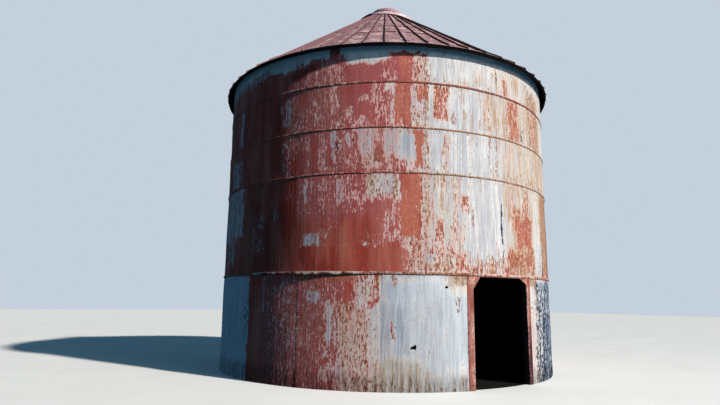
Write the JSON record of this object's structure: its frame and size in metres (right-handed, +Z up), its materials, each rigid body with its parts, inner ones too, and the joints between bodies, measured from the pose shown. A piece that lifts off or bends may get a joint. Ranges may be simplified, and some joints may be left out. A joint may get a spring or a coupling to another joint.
{
  "type": "grain silo",
  "caption": "Round steel grain silo with courses of curved sheet, hoops over the seams, a ribbed conical roof with a cap, and an open framed doorway.",
  "frame": {"origin": "on the silo's axis at ground level, the middle of its foot", "axes": "+Z up along the silo's axis; -Y points out through the middle of the doorway; +X to the right of someone who faces the doorway from outside"},
  "size_m": [8.576, 8.576, 10.0171],
  "materials": {
    "wall_sheet": "peeling red paint over pale primer, rusted",
    "seam_hoop": "rusted, with flaking paint",
    "roof_sheet": "faded red paint, matte",
    "cap_sheet": "faded red paint, matte",
    "door_frame": "red paint, chipped and rusted",
    "ring_steel": "rusted"
  },
  "bodies": {
    "root": {"bottom_course_sheets_1": "wall_sheet", "bottom_course_sheets_2": "wall_sheet", "bottom_course_sheets_3": "wall_sheet", "bottom_course_sheets_4": "wall_sheet", "bottom_course_sheets_5": "wall_sheet", "second_course_sheets_1": "wall_sheet", "second_course_sheets_2": "wall_sheet", "second_course_sheets_3": "wall_sheet", "second_course_sheets_4": "wall_sheet", "second_course_sheets_5": "wall_sheet", "third_course_sheets_1": "wall_sheet", "third_course_sheets_2": "wall_sheet", "third_course_sheets_3": "wall_sheet", "third_course_sheets_4": "wall_sheet", "third_course_sheets_5": "wall_sheet", "fourth_course_sheets_1": "wall_sheet", "fourth_course_sheets_2": "wall_sheet", "fourth_course_sheets_3": "wall_sheet", "fourth_course_sheets_4": "wall_sheet", "fourth_course_sheets_5": "wall_sheet", "top_course_sheets_1": "wall_sheet", "top_course_sheets_2": "wall_sheet", "top_course_sheets_3": "wall_sheet", "top_course_sheets_4": "wall_sheet", "top_course_sheets_5": "wall_sheet", "seam_hoop_1": "seam_hoop", "seam_hoop_2": "seam_hoop", "seam_hoop_3": "seam_hoop", "seam_hoop_4": "seam_hoop", "base_ring": "ring_steel", "eave_ring": "ring_steel", "peak_ring": "ring_steel", "roof_sector_1": "roof_sheet", "roof_sector_2": "roof_sheet", "roof_sector_3": "roof_sheet", "roof_sector_4": "roof_sheet", "roof_sector_5": "roof_sheet", "cap_skirt": "cap_sheet", "cap_lid": "cap_sheet", "door_jamb_left": "door_frame", "door_jamb_right": "door_frame", "door_gusset_left": "door_frame", "door_gusset_right": "door_frame", "door_header": "door_frame"}
  },
  "joints": []
}
